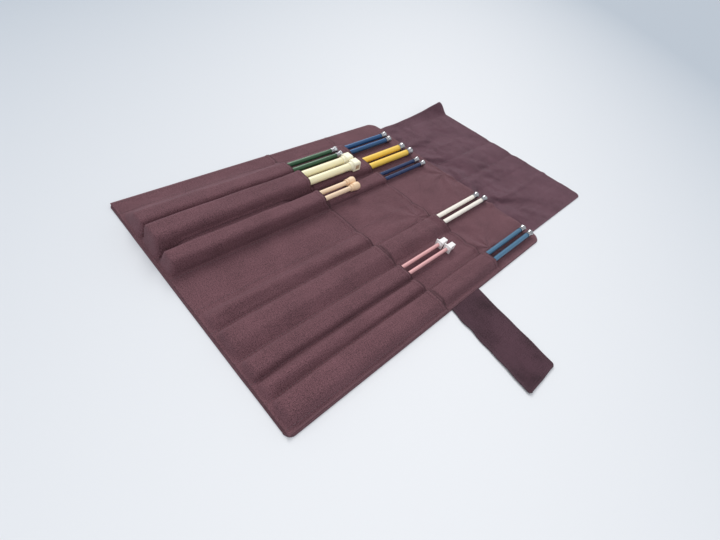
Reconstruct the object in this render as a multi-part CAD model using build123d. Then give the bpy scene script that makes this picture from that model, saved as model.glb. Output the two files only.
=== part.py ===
from build123d import *
import os

os.makedirs("parts", exist_ok=True)

# Open case, measured from its lower left corner on the table (mm)
BODY_W = 300.0
BODY_H = 377.0
TOP_CORNER_R = 12.0
BOTTOM_CORNER_R = 6.0
CREASE_LEFT_X = 126.5
CREASE_RIGHT_X = 168.0
CLOTH = 0.8
GAP = 0.3

# Each layer of cloth: bottom height and how far it stops short of a crease
COVER_Z = 0.0
LINING_Z = COVER_Z + CLOTH
REAR_Z = LINING_Z + CLOTH
FRONT_Z = REAR_Z + CLOTH
BODY_TRIM = 2.0
REAR_TRIM = 2.8
FRONT_TRIM = 3.6

# Pocket panels
POCKET_SIDE_MARGIN = 2.0
POCKET_LOW_Y = 2.0
REAR_MOUTH_Y = 285.0
FRONT_MOUTH_Y = 189.0
REAR_CLOSED_Y = 8.0
FRONT_CLOSED_Y = 7.0
LAYER_PLAY = 0.1
FRONT_OUTER_INSET = 0.6
FRONT_INNER_INSET = 1.6
REAR_OUTER_INSET = 2.2
REAR_INNER_INSET = 3.2

# Flap over the needle heads
FLAP_X0 = 17.0
FLAP_X1 = 287.0
FLAP_Y0 = 379.0
FLAP_Y1 = 522.0
FLAP_THICK = 1.2
FLAP_TRIM = 1.5
FLAP_CORNER_R = 8.0

# Closing strap, leaving the right edge at a slight slant
STRAP_W = 45.0
STRAP_THICK = 1.6
STRAP_ROOT_X = BODY_W
STRAP_ROOT_LEN = 1.6
STRAP_HINGE_X = 301.9
STRAP_TIP_HINGE_X = 345.9
STRAP_END_X = 398.0
STRAP_CENTRE_Y = 216.0
STRAP_SLANT = -0.163
STRAP_TRIM = 1.9
STRAP_END_R = 3.0

# Needles
LONG_NEEDLE = 350.0
SHORT_NEEDLE = 250.0
WOOD_NEEDLE = 225.0
TIP_TAPER = 3.2
TIP_BLUNT_R = 0.4
HEAD_END_WALL = 1.6

# pair: (row, X of the two needles, Y of the two head ends, length, diameter, head radius)
PAIRS = {
    "blue": ("rear", (39.5, 51.0), (364.0, 362.0), LONG_NEEDLE, 6.5, 4.7),
    "yellow": ("rear", (75.0, 89.0), (364.0, 366.0), LONG_NEEDLE, 8.0, 5.3),
    "navy": ("rear", (107.6, 117.6), (360.5, 362.0), LONG_NEEDLE, 5.0, 4.0),
    "cream": ("rear", (204.0, 214.6), (370.0, 374.0), LONG_NEEDLE, 5.5, 4.2),
    "teal": ("rear", (277.0, 287.2), (368.0, 368.0), LONG_NEEDLE, 5.5, 4.0),
    "green": ("front", (47.8, 58.8), (260.5, 260.0), SHORT_NEEDLE, 6.0, 4.5),
    "ivory": ("front", (74.4, 88.2), (260.0, 260.0), SHORT_NEEDLE, 9.0, 6.2),
    "tan": ("front", (107.6, 118.0), (237.0, 235.0), WOOD_NEEDLE, 5.5, 5.0),
    "pink": ("front", (236.0, 245.8), (260.0, 262.0), SHORT_NEEDLE, 4.0, 4.4),
}
UNDER = {"green": "blue", "ivory": "yellow", "tan": "navy"}
STACK_TOP_Z = 40.0

# section: left and right end in X
SECTIONS = {
    "left": (0.0, CREASE_LEFT_X),
    "spine": (CREASE_LEFT_X, CREASE_RIGHT_X),
    "right": (CREASE_RIGHT_X, BODY_W),
}

# section: stitched channels as (seam, seam, rear pair, front pair, height of a slack empty pocket)
CHANNELS = {
    "left": [
        (22.0, 64.0, "blue", "green", 0.0),
        (64.0, 97.0, "yellow", "ivory", 0.0),
        (97.0, 123.5, "navy", "tan", 0.0),
    ],
    "spine": [
        (129.5, 165.0, None, None, 0.6),
    ],
    "right": [
        (171.0, 195.0, None, None, 5.6),
        (195.0, 229.0, "cream", None, 0.0),
        (229.0, 251.0, None, "pink", 0.0),
        (251.0, 270.0, None, None, 5.6),
        (270.0, 297.0, "teal", None, 0.0),
    ],
}

# Middle of the open case's footprint, where the shared frame has its origin
FRAME_X = STRAP_END_X / 2
FRAME_Y = FLAP_Y1 / 2


def save(solid, name):
    """Writes one node in the shared frame."""
    export_step(solid.moved(Location((-FRAME_X, -FRAME_Y, 0))), f"parts/{name}.step")


def needle_z(pair):
    """Height of a pair's centre line, with its heads just clear of the cloth below."""
    row, _, _, _, diameter, head = PAIRS[pair]
    if row == "rear":
        return REAR_Z + GAP + head
    if pair not in UNDER:
        return FRONT_Z + GAP + head
    under = UNDER[pair]
    _, _, _, _, under_diameter, under_head = PAIRS[under]
    over_heads = needle_z(under) + under_head
    over_panel = needle_z(under) + under_diameter / 2 + GAP + CLOTH
    return max(over_heads, over_panel) + GAP + head


def section_span(section, trim):
    """X range of a section, cut back from its creases."""
    x0, x1 = SECTIONS[section]
    if x0 > 0:
        x0 += trim
    if x1 < BODY_W:
        x1 -= trim
    return x0, x1


def block(x0, x1, y0, y1, z0, z1):
    """A box between the given limits."""
    middle = ((x0 + x1) / 2, (y0 + y1) / 2, (z0 + z1) / 2)
    return Pos(*middle) * Box(x1 - x0, y1 - y0, z1 - z0)


def body_sheet(section, z0):
    """One section of the cover or lining, with the case's rounded corners."""
    outline = Pos(BODY_W / 2, BODY_H / 2) * Rectangle(BODY_W, BODY_H)
    outline = fillet(outline.vertices().group_by(Axis.Y)[-1], TOP_CORNER_R)
    outline = fillet(outline.vertices().group_by(Axis.Y)[0], BOTTOM_CORNER_R)
    sheet = extrude(Pos(0, 0, z0) * outline, CLOTH)
    x0, x1 = section_span(section, BODY_TRIM)
    return sheet & block(x0, x1, 0, BODY_H, z0, z0 + CLOTH)


def hull_prism(discs, base_x0, base_x1, base_z, y0, y1):
    """Cloth pulled taut from the base line over discs (x, z, radius), along Y."""
    edges = [Edge.make_line((base_x0, base_z), (base_x1, base_z))]
    for x, z, radius in discs:
        edges += (Pos(x, z) * Circle(radius)).edges()
    profile = make_hull(edges)
    upright = Plane((0, y0, 0), x_dir=(1, 0, 0), z_dir=(0, -1, 0)) * profile
    return extrude(upright, y1 - y0, dir=(0, 1, 0))


def arch_prism(base_x0, base_x1, base_z, height, y0, y1):
    """A slack empty pocket's low arch along Y."""
    middle = ((base_x0 + base_x1) / 2, base_z + height)
    arc = ThreePointArc((base_x0, base_z), middle, (base_x1, base_z))
    base = Line((base_x1, base_z), (base_x0, base_z))
    profile = make_face([arc, base])
    upright = Plane((0, y0, 0), x_dir=(1, 0, 0), z_dir=(0, -1, 0)) * profile
    return extrude(upright, y1 - y0, dir=(0, 1, 0))


def discs_over(pair, extra):
    """Discs round both needles of a pair, larger than the needle by extra."""
    if pair is None:
        return []
    _, xs, _, _, diameter, _ = PAIRS[pair]
    return [(x, needle_z(pair), diameter / 2 + extra) for x in xs]


def rear_pocket(section):
    """Tall rear panel: flat cloth with a taut tunnel over each long pair."""
    x0, x1 = section_span(section, REAR_TRIM)
    x0 = max(x0, POCKET_SIDE_MARGIN)
    x1 = min(x1, BODY_W - POCKET_SIDE_MARGIN)
    panel = block(x0, x1, POCKET_LOW_Y, REAR_MOUTH_Y, REAR_Z, REAR_Z + CLOTH)
    for seam0, seam1, pair, _, _ in CHANNELS[section]:
        if pair is None:
            continue
        a, b = seam0 + REAR_OUTER_INSET, seam1 - REAR_OUTER_INSET
        outer = discs_over(pair, GAP + CLOTH)
        panel += hull_prism(outer, a, b, REAR_Z, REAR_CLOSED_Y, REAR_MOUTH_Y)
        a, b = seam0 + REAR_INNER_INSET, seam1 - REAR_INNER_INSET
        inner = discs_over(pair, GAP)
        panel -= hull_prism(inner, a, b, REAR_Z, REAR_CLOSED_Y + CLOTH, REAR_MOUTH_Y)
    return panel


def front_pocket(section):
    """Short front panel: flat cloth, taut tunnels and slack empty pockets."""
    x0, x1 = section_span(section, FRONT_TRIM)
    x0 = max(x0, POCKET_SIDE_MARGIN)
    x1 = min(x1, BODY_W - POCKET_SIDE_MARGIN)
    y0, y1 = FRONT_CLOSED_Y, FRONT_MOUTH_Y
    y_open = y0 + CLOTH
    over_rear = GAP + CLOTH + LAYER_PLAY
    panel = block(x0, x1, POCKET_LOW_Y, y1, FRONT_Z, FRONT_Z + CLOTH)
    for seam0, seam1, rear, front, slack in CHANNELS[section]:
        a, b = seam0 + FRONT_OUTER_INSET, seam1 - FRONT_OUTER_INSET
        c, d = seam0 + FRONT_INNER_INSET, seam1 - FRONT_INNER_INSET
        if slack > 0:
            panel += arch_prism(a, b, FRONT_Z, slack + CLOTH, y0, y1)
            panel -= arch_prism(c, d, FRONT_Z, slack, y_open, y1)
            continue
        outer = discs_over(rear, over_rear + CLOTH) + discs_over(front, GAP + CLOTH)
        panel += hull_prism(outer, a, b, FRONT_Z, y0, y1)
        inner = discs_over(rear, over_rear) + discs_over(front, GAP)
        panel -= hull_prism(inner, c, d, FRONT_Z, y_open, y1)
    return panel & block(0, BODY_W, 0, y1, FRONT_Z, STACK_TOP_Z)


def flap_sheet(section):
    """One section of the flap, lying open beyond the case's top edge."""
    width = FLAP_X1 - FLAP_X0
    length = FLAP_Y1 - FLAP_Y0
    outline = Pos(FLAP_X0 + width / 2, FLAP_Y0 + length / 2) * Rectangle(width, length)
    outline = fillet(outline.vertices().group_by(Axis.Y)[-1], FLAP_CORNER_R)
    x0, x1 = section_span(section, FLAP_TRIM)
    return extrude(outline, FLAP_THICK) & block(x0, x1, FLAP_Y0, FLAP_Y1, 0, FLAP_THICK)


def strap_piece(x0, x1, end_radius):
    """A length of the slanted strap, flat on the table."""
    half = STRAP_W / 2
    y0 = STRAP_CENTRE_Y + STRAP_SLANT * (x0 - BODY_W)
    y1 = STRAP_CENTRE_Y + STRAP_SLANT * (x1 - BODY_W)
    corners = [(x0, y0 - half), (x1, y1 - half), (x1, y1 + half), (x0, y0 + half)]
    outline = make_face(Polyline(*corners, close=True))
    if end_radius > 0:
        outline = fillet(outline.vertices().group_by(Axis.X)[-1], end_radius)
    return extrude(outline, STRAP_THICK)


def turned(points):
    """A solid turned about Y from its (radius, y) outline, given from the start up to the end."""
    outline = Polyline((0, points[0][1]), *points, (0, points[-1][1]), close=True)
    return revolve(make_face(outline), Axis.Y)


def shaft(radius, length):
    """A needle shaft along Y, with a long taper to a small blunt tip at the start."""
    return turned([(TIP_BLUNT_R, 0), (radius, TIP_TAPER * radius), (radius, length)])


def cap_head(radius, head):
    """A metal cap: collar lip, slim waist, flared rim and domed end."""
    lip, waist = radius + 0.7, radius + 0.35
    outline = [
        (lip, 0),
        (lip, 1.1),
        (waist, 1.5),
        (waist, 5.0),
        (head, 7.6),
        (head, 8.5),
        (head * 0.8, 9.6),
        (head * 0.4, 10.2),
    ]
    return turned(outline), outline[-1][1]


def knob_head(radius, head):
    """A turned wooden knob: ring, groove and a barrel that swells towards its domed end."""
    ring, groove, barrel = radius + 1.3, radius + 0.5, head - 0.7
    outline = [
        (ring - 0.4, 0),
        (ring, 0.5),
        (ring, 2.0),
        (groove, 2.2),
        (groove, 3.2),
        (barrel, 4.4),
        (head, 10.0),
        (head - 0.7, 12.6),
        (head * 0.5, 13.7),
        (head * 0.2, 14.0),
    ]
    return turned(outline), outline[-1][1]


def block_head(radius, head):
    """A squared moulded head with rounded sides and shallow side hollows, on a round neck."""
    neck, length, side_r, end_bevel = 3.5, 15.0, 2.6, 1.2
    hollow, depth = 6.4, 0.7
    middle = (neck + length) / 2
    body = Pos(0, middle, 0) * Box(2 * head, length - neck, 2 * head)
    body = fillet(body.edges().filter_by(Axis.Y), side_r)
    ends = body.faces().sort_by(Axis.Y)
    body = chamfer(ends[0].edges() + ends[-1].edges(), end_bevel)
    for side in (-1, 1):
        body -= Pos(side * head, middle, 0) * Box(2 * depth, hollow, hollow)
    collar_r = radius + 0.7
    return body + turned([(collar_r, 0), (collar_r, neck + end_bevel)]), length


def flanged_head(radius, head):
    """A small moulded head: square flange that sweeps in to a longer squared stem."""
    collar_r, collar_end = radius + 0.8, 1.2
    flange_end, sweep_end, length = collar_end + 1.4, 6.6, 13.2
    stem, stem_end = 2.9, 2.7
    sweep = (stem + (head - stem) * 0.3, flange_end + (sweep_end - flange_end) * 0.36)
    right = [
        Line((head, collar_end), (head, flange_end)),
        ThreePointArc((head, flange_end), sweep, (stem, sweep_end)),
        Line((stem, sweep_end), (stem_end, length)),
    ]
    left = [mirror(edge, Plane.YZ) for edge in right]
    across = [Line((-head, collar_end), (head, collar_end)), Line((-stem_end, length), (stem_end, length))]
    front = extrude(make_face(right + left + across), head, both=True)
    body = front & (Rot(0, 90, 0) * front)
    return body + turned([(collar_r, 0), (collar_r, collar_end + 0.4)]), length


def head_for(pair):
    """The pair's style of head, with its far end at the returned length."""
    radius, head = PAIRS[pair][4] / 2, PAIRS[pair][5]
    if pair == "tan":
        return knob_head(radius, head)
    if pair == "ivory":
        return block_head(radius, head)
    if pair == "pink":
        return flanged_head(radius, head)
    return cap_head(radius, head)


def bored_head(pair):
    """The head with a blind bore that takes the shaft."""
    radius = PAIRS[pair][4] / 2
    head, length = head_for(pair)
    depth = length - HEAD_END_WALL
    bore = Pos(0, depth / 2, 0) * Rot(90, 0, 0) * Cylinder(radius, depth)
    return head - bore, length


def make_needles():
    """Two shafts and two heads for every pair."""
    for pair, (_, xs, ends, length, diameter, _) in PAIRS.items():
        stick = shaft(diameter / 2, length - HEAD_END_WALL)
        head, head_length = bored_head(pair)
        for number in (1, 2):
            x, y_end = xs[number - 1], ends[number - 1]
            z = needle_z(pair)
            save(Pos(x, y_end - length, z) * stick, f"{pair}_shaft_{number}")
            save(Pos(x, y_end - head_length, z) * head, f"{pair}_head_{number}")


def make_case():
    """The cloth layers of the three sections and the flap."""
    for section in SECTIONS:
        save(body_sheet(section, COVER_Z), f"cover_{section}")
        save(body_sheet(section, LINING_Z), f"lining_{section}")
        save(rear_pocket(section), f"rear_pocket_{section}")
        save(front_pocket(section), f"front_pocket_{section}")
        save(flap_sheet(section), f"flap_{section}")


def make_strap():
    """The sewn root and the two folding lengths of the strap."""
    root_end = STRAP_ROOT_X + STRAP_ROOT_LEN
    save(strap_piece(STRAP_ROOT_X, root_end, 0), "strap_root")
    riser_x0 = STRAP_HINGE_X + STRAP_TRIM
    riser_x1 = STRAP_TIP_HINGE_X - STRAP_TRIM
    save(strap_piece(riser_x0, riser_x1, 0), "strap_riser")
    tip_x0 = STRAP_TIP_HINGE_X + STRAP_TRIM
    save(strap_piece(tip_x0, STRAP_END_X, STRAP_END_R), "strap_tip")


make_case()
make_strap()
make_needles()
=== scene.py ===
import math

import bpy
import numpy as np
from bpy.props import FloatProperty, FloatVectorProperty, PointerProperty
from bpy.types import Operator, Panel, PropertyGroup
from mathutils import Matrix


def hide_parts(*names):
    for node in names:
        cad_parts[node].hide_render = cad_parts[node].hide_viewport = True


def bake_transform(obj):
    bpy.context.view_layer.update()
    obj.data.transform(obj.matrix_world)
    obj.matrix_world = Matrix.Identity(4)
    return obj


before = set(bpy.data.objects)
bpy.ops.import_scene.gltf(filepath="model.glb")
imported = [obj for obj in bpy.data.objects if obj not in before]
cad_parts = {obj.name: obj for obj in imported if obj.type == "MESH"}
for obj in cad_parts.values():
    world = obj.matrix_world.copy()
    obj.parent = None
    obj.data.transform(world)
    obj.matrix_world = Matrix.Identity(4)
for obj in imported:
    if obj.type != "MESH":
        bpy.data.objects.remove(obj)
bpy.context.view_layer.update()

bl_info = {
    "name": "Knitting Needle Case",
    "version": (1, 0, 0),
    "blender": (4, 5, 0),
    "location": "View3D > Sidebar > Needle Case",
    "description": "Builds an open cloth needle case with its pockets, flap, strap and needles",
    "category": "Add Mesh",
}

# Case frame in mm: X from the left edge, Y from the closed pocket ends, Z from the table
ORIGIN_X, ORIGIN_Y = 199, 261
BODY_W, BODY_H = 300, 377
CORNER_LOW, CORNER_HIGH, FLAP_CORNER, STRAP_CORNER = 6, 12, 8, 3
CREASE_L, CREASE_R = 126.5, 168
MID_SPINE = (CREASE_L + CREASE_R) / 2
FLAP_X0, FLAP_X1, FLAP_Y1 = 17, 287, 522
REAR_MOUTH, FRONT_MOUTH = 285, 189
STRAP_X0, STRAP_BREAK, STRAP_X1, STRAP_HALF = 300, 324, 397.6, 22.5
# the strap's middle line at its root and its slope, its tip, and the stitches across it
STRAP_Y, STRAP_SLOPE, STRAP_TIP, STRAP_TIP_SEAM = 216, 0.163, 398, 394.8
# middle height of each sewn layer, and thickness of each cloth
COVER_MID, LINING_MID, REAR_MID, FRONT_MID = 0.42, 1.2, 2, 2.8
COVER_T, LINING_T, PANEL_T, STRAP_T = 0.76, 0.72, 0.8, 1.3
FLAP_T, FLAP_CREASE_THINNER = 0.9, 0.64
# how far the cloths' edges stand inside the case's outline
COVER_INSET, LINING_INSET, FLAP_INSET = 0.4, 0.9, 0.5
# stitch rows: distance from the edge or mouth, and height over the cloth
LINING_HEM, MOUTH_HEM, SIDE_HEM, SEWN, SEWN_LOW = 4.2, 3, 5.6, 0.05, -0.12
FLAP_HEM, FLAP_SIDE_HEM, STRAP_HEM = 5, 4.6, 3.2
# a rounded rim's reach in half thicknesses, and the gap at a mitred edge
RIM_ROUND, MITRE_GAP = 0.9, 0.015
DISC_POINTS = 90
LINING_CLOTH = "plum_lining_weave"

# pair: (X of both needles, height, radius)
PAIRS = {
    "blue": ((39.5, 51), 6.6, 3.25),
    "yellow": ((75, 89), 7.2, 4),
    "navy": ((107.6, 117.6), 5.9, 2.5),
    "cream": ((204, 214.6), 6.1, 2.75),
    "teal": ((277, 287.2), 5.9, 2.75),
    "green": ((47.8, 58.8), 16.1, 3),
    "ivory": ((74.4, 88.2), 19, 4.5),
    "tan": ((107.6, 118), 15.2, 2.75),
    "pink": ((236, 245.8), 7.1, 2),
}
# Y of the square hollow in the ivory heads, where brown shade is painted
IVORY_HOLLOW_Y = 254.25
# stitched channels: (seam, seam, rear pair, front pair, slack of the empty front pocket)
CHANNELS = [
    (22, 64, "blue", "green", 0),
    (64, 97, "yellow", "ivory", 0),
    (97, 123.5, "navy", "tan", 0),
    (129.5, 165, None, None, 0.6),
    (171, 195, None, None, 5.4),
    (195, 229, "cream", None, 0),
    (229, 251, None, "pink", 0),
    (251, 270, None, None, 5.2),
    (270, 297, "teal", None, 0),
]
# the seam under a pink head, where the rear panel's stitches lie low
PINK_SEAM = 251
SEAMS = [22, 64, 97, CREASE_L, CREASE_R, 195, 229, PINK_SEAM, 270]
# X limits of the strips that the drawn needles pass over
NEEDLE_LANES = [
    (34, 56.5), (43, 64), (67.8, 95.2), (101.5, 123.5),
    (198.8, 219.8), (231, 251), (272, 292.5),
]
# folds that spread from a point: (X, Y, spokes, reach, gain)
LINING_FOLDS = [(214, 268, 7, 105, 7), (146, 372, 6, 85, 9), (270, 300, 6, 70, 8)]
FLAP_FOLDS = [(96, 352, 8, 190, 27), (212, 352, 7, 170, 25), (30, 520, 4, 120, 10)]
# ridges that run up the flap from its sewn edge: (X, Y, angle, width, gain)
FLAP_RIDGES = [
    (209, 372, 1.15, 7, 1), (209, 372, 0.62, 6, 0.8), (209, 372, 1.75, 8, 0.6),
    (82, 368, 1.35, 8, 1), (82, 368, 0.8, 7, 0.7), (112, 362, 1, 7, 0.8),
    (150, 372, 1.9, 9, 0.8), (150, 372, 1.15, 9, 0.9), (45, 370, 1.5, 8, 0.7),
    (250, 374, 2, 8, 0.7), (282, 372, 2.2, 7, 0.7),
]
# flap section: (X limits, worn free sides, mitred sides)
FLAP_SECTIONS = {
    "left": (FLAP_X0, CREASE_L, ("left", "high"), ("right",)),
    "spine": (CREASE_L, CREASE_R, ("high",), ("left", "right")),
    "right": (CREASE_R, FLAP_X1, ("right", "high"), ("left",)),
}
# hinge: (two bodies, a point on it, axis across it, where the bend starts and ends)
FLAP_BEND = ((0, 378, 13.8), 1, (-2, 14))
HINGES = {
    "left": ("left_panel", "spine", (CREASE_L, BODY_H / 2, 0), 0, (-4, 4)),
    "right": ("spine", "right_panel", (CREASE_R, BODY_H / 2, 0), 0, (-4, 4)),
    "flap_left": ("left_panel", "flap_left_sheet", *FLAP_BEND),
    "flap_spine": ("spine", "flap_spine_sheet", *FLAP_BEND),
    "flap_right": ("right_panel", "flap_right_sheet", *FLAP_BEND),
    "strap_root": ("right_panel", "strap_riser_length", (301.9, 0, 0), 0, (-1.9, 3.9)),
    "strap_tip": ("strap_riser_length", "strap_tip_length", (345.9, 0, 0), 0, (-1.9, 3.9)),
}


def place(points):
    """Case-frame mm to row-frame metres."""
    points = np.asarray(points, float)
    return (points - np.array([ORIGIN_X, ORIGIN_Y, 0])) / 1000


def smooth(t):
    """A soft step from 0 to 1."""
    t = np.clip(t, 0, 1)
    return t * t * (3 - 2 * t)


class Ripple:
    """A soft seeded field of waves over two coordinates in mm."""

    def __init__(self, seed, wave_u, wave_v, count=9):
        rng = np.random.RandomState(seed)
        self.ku = 2 * math.pi / wave_u * rng.uniform(-1.3, 1.3, count)
        self.kv = 2 * math.pi / wave_v * rng.uniform(-1.3, 1.3, count)
        self.phase = rng.uniform(0, 2 * math.pi, count)
        self.gain = rng.uniform(0.5, 1, count)

    def __call__(self, u, v):
        total = 0
        for ku, kv, phase, gain in zip(self.ku, self.kv, self.phase, self.gain):
            total = total + gain * np.sin(ku * u + kv * v + phase)
        return total / np.sqrt(np.sum(self.gain ** 2) * 2)


def corner_pull(into, radius):
    """How far a rounded corner draws an edge in, into mm past the corner's start."""
    return radius - np.sqrt(radius ** 2 - np.clip(into, 0, radius) ** 2)


def unit(vector):
    """The vector at length 1, or itself if it has no length."""
    length = np.linalg.norm(vector)
    return vector / length if length > 1e-9 else vector


def add_object(name, data):
    """A new object, linked into the scene."""
    made = bpy.data.objects.new(name, data)
    bpy.context.scene.collection.objects.link(made)
    return made


def dye(made, material):
    """Gives a piece its one material."""
    made.data.materials.clear()
    made.data.materials.append(material)


# --- materials


def maths(operation, swapped=False):
    """A method of Value that adds one Math node."""

    def act(self, *others):
        values = [*others, self] if swapped else [self, *others]
        return self.tree.node("ShaderNodeMath", {"operation": operation}, values)

    return act


class Value:
    """A node socket that does arithmetic by adding Math nodes."""

    def __init__(self, tree, socket):
        self.tree, self.socket = tree, socket

    __add__ = __radd__ = maths("ADD")
    __sub__, __rsub__ = maths("SUBTRACT"), maths("SUBTRACT", swapped=True)
    __mul__ = __rmul__ = maths("MULTIPLY")
    __pow__ = maths("POWER")
    sine, size, above = maths("SINE"), maths("ABSOLUTE"), maths("GREATER_THAN")

    def limited(self):
        return self.tree.node("ShaderNodeClamp", {}, [self])


class Tree:
    """A node tree being built: each node takes its settings, then its values or links."""

    def __init__(self, tree):
        self.tree = tree

    def feed(self, socket, value):
        if isinstance(value, Value):
            self.tree.links.new(value.socket, socket)
        else:
            socket.default_value = value

    def node(self, kind, settings, values, output=0):
        made = self.tree.nodes.new(kind)
        for key, setting in settings.items():
            setattr(made, key, setting)
        pairs = values.items() if isinstance(values, dict) else enumerate(values)
        for key, value in pairs:
            self.feed(made.inputs[key], value)
        return Value(self, made.outputs[output])


class Shader(Tree):
    """A material being built on its Principled shader."""

    def __init__(self, name):
        self.material = bpy.data.materials.new(name)
        self.material.use_nodes = True
        super().__init__(self.material.node_tree)
        self.tree.nodes.clear()
        self.surface = self.tree.nodes.new("ShaderNodeBsdfPrincipled")
        output = self.tree.nodes.new("ShaderNodeOutputMaterial")
        self.tree.links.new(self.surface.outputs[0], output.inputs["Surface"])

    def coordinates(self, kind="Object"):
        return self.node("ShaderNodeTexCoord", {}, [], kind)

    def axes(self, vector):
        return [self.node("ShaderNodeSeparateXYZ", {}, [vector], axis) for axis in "XYZ"]

    def noise(self, vector, scale, detail=3, rough=0.55):
        if isinstance(scale, tuple):
            vector = self.node("ShaderNodeMapping", {}, {"Vector": vector, "Scale": scale})
            scale = 1
        values = {"Vector": vector, "Scale": scale, "Detail": detail, "Roughness": rough}
        return self.node("ShaderNodeTexNoise", {}, values, "Fac")

    def mix(self, factor, first, second):
        values = {"Factor": factor, 6: first, 7: second}
        return self.node("ShaderNodeMix", {"data_type": "RGBA"}, values, 2)

    def attribute(self, name):
        return self.node("ShaderNodeAttribute", {"attribute_name": name}, [], "Fac")

    def set(self, **values):
        for key, value in values.items():
            self.feed(self.surface.inputs[key.replace("_", " ")], value)

    def bump(self, height, distance, strength=1):
        values = {"Height": height, "Distance": distance, "Strength": strength}
        self.set(Normal=self.node("ShaderNodeBump", {}, values))


def rgba(colour, gain=1):
    return tuple(channel * gain for channel in colour) + (1,)


def fan_folds(s, u, v, fans):
    """Soft folds that spread like spokes from points (X mm, Y mm, spokes, reach mm, gain)."""
    sway = s.noise(s.node("ShaderNodeCombineXYZ", {}, [u, v]), 17, 2)
    total = 0
    for x, y, spokes, reach, gain in fans:
        du, dv = u - x / 1000, v - y / 1000
        angle = s.node("ShaderNodeMath", {"operation": "ARCTAN2"}, [dv, du])
        away = (du * du + dv * dv) ** 0.5 * (1000 / reach)
        fade = (1 - away).limited() * (away * 5).limited()
        total = (angle * spokes + sway * 9).sine() * fade * gain + total
    return total


def cloth_material(name, colour, thread_pitch, fans=(), patchy=0.5):
    """Plain-woven plum cloth: threads, slubs, mottling, soft folds, paler worn edges, and painted
    shade along the pocket mouths.
    """
    s = Shader(name)
    uv = s.coordinates("UV")
    u, v, _ = s.axes(uv)
    turns = 2 * math.pi / (thread_pitch / 1000)
    warp, weft = (u * turns).sine(), (v * turns).sine()
    weave = warp * weft * 0.5 + 0.5
    slub_u = s.noise(uv, (1400, 90, 1), 2)
    slub_v = s.noise(uv, (90, 1400, 1), 2)
    slubs = slub_u * 0.5 + slub_v * 0.5
    mottle = s.noise(uv, 560, 4, 0.95)
    specks = s.noise(uv, 1400, 2, 0.75)
    patches = s.noise(uv, 26, 2)
    creased = s.noise(uv, (55, 24, 1), 3, 0.5)
    wear_and_shade = s.attribute("wear_and_shade")
    tone = slubs + mottle * 1.9 + specks * 3.6 + weave * 0.3 + (patches - 0.5) * patchy - 2.85
    base = s.mix(tone.limited(), rgba(colour, 0.42), rgba(colour, 1.6))
    pale = tuple(channel * 1.25 + 0.02 for channel in colour)
    rubbed = s.mix((wear_and_shade * (mottle * 0.9 + 0.1)).limited(), base, rgba(pale))
    # painted shade: where the edge attribute falls below zero, the cloth is darkened towards a
    # fifth of its colour, along the pocket mouths
    s.set(Base_Color=s.mix((wear_and_shade * -0.75).limited(), rubbed, rgba(colour, 0.22)))
    s.set(Roughness=slubs * 0.12 + 0.82)
    s.set(Specular_IOR_Level=0.2, Sheen_Weight=0.12, Sheen_Roughness=0.45)
    s.set(Sheen_Tint=rgba((0.6, 0.42, 0.5)))
    folds = creased * 9 + fan_folds(s, u, v, fans)
    s.bump(weave * 0.5 + slubs * 0.9 + mottle * 0.6 + folds, 0.00022, 0.9)
    return s.material


def thread_material(name, colour):
    """Twisted sewing thread."""
    s = Shader(name)
    x, y, z = s.axes(s.coordinates())
    twist = ((x + y + z * 0.7) * 9000).sine() * 0.5 + 0.5
    s.set(Base_Color=s.mix(twist, rgba(colour, 0.8), rgba(colour, 1.15)))
    s.set(Roughness=twist * 0.15 + 0.6)
    s.bump(twist, 0.0001)
    return s.material


def lacquer_material(name, colour, metallic, roughness):
    """A coloured needle shaft: even coat, faint drawing lines, rubbed patches."""
    s = Shader(name)
    where = s.coordinates()
    lines = s.noise(where, (2600, 22, 2600), 2)
    rubbed = s.noise(where, 60, 4, 0.65)
    tone = (lines * 0.7 + rubbed * 0.3).limited()
    s.set(Base_Color=s.mix(tone, rgba(colour, 0.9), rgba(colour, 1.1)))
    s.set(Metallic=metallic, Roughness=rubbed * 0.2 + (roughness - 0.1))
    s.set(Coat_Weight=0.25, Coat_Roughness=0.15)
    s.bump(lines, 0.00003)
    return s.material


def cap_material(name, colour):
    """Satin metal caps with turning rings and dulled hollows."""
    s = Shader(name)
    where = s.coordinates()
    _, y, _ = s.axes(where)
    rings = (y * 14000).sine() * 0.5 + 0.5
    dull = s.noise(where, 380, 4, 0.65)
    s.set(Base_Color=s.mix((dull * 1.4 - 0.2).limited(), rgba(colour, 0.4), rgba(colour, 1.15)))
    s.set(Metallic=0.95, Roughness=dull * 0.2 + 0.08)
    s.bump(rings * 0.4 + dull * 0.6, 0.00004)
    return s.material


def wood_material(name, colour):
    """Pale birch with long grain, pores and handled warmth."""
    s = Shader(name)
    where = s.coordinates()
    grain = s.noise(where, (900, 28, 900), 5, 0.6)
    pores = s.noise(where, (3200, 160, 3200), 2)
    band = s.noise(where, 45, 2)
    tone = (grain * 1.3 + band * 0.4 - 0.4).limited()
    base = s.mix(tone, rgba(colour, 0.8), rgba(colour, 1.14))
    dark = (colour[0] * 0.55, colour[1] * 0.45, colour[2] * 0.36)
    s.set(Base_Color=s.mix(pores.above(0.66) * 0.35, base, rgba(dark)))
    s.set(Roughness=grain * 0.2 + 0.38, Coat_Weight=0.15, Coat_Roughness=0.3)
    s.bump(grain * 0.6 + pores * 0.4, 0.00004)
    return s.material


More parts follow.
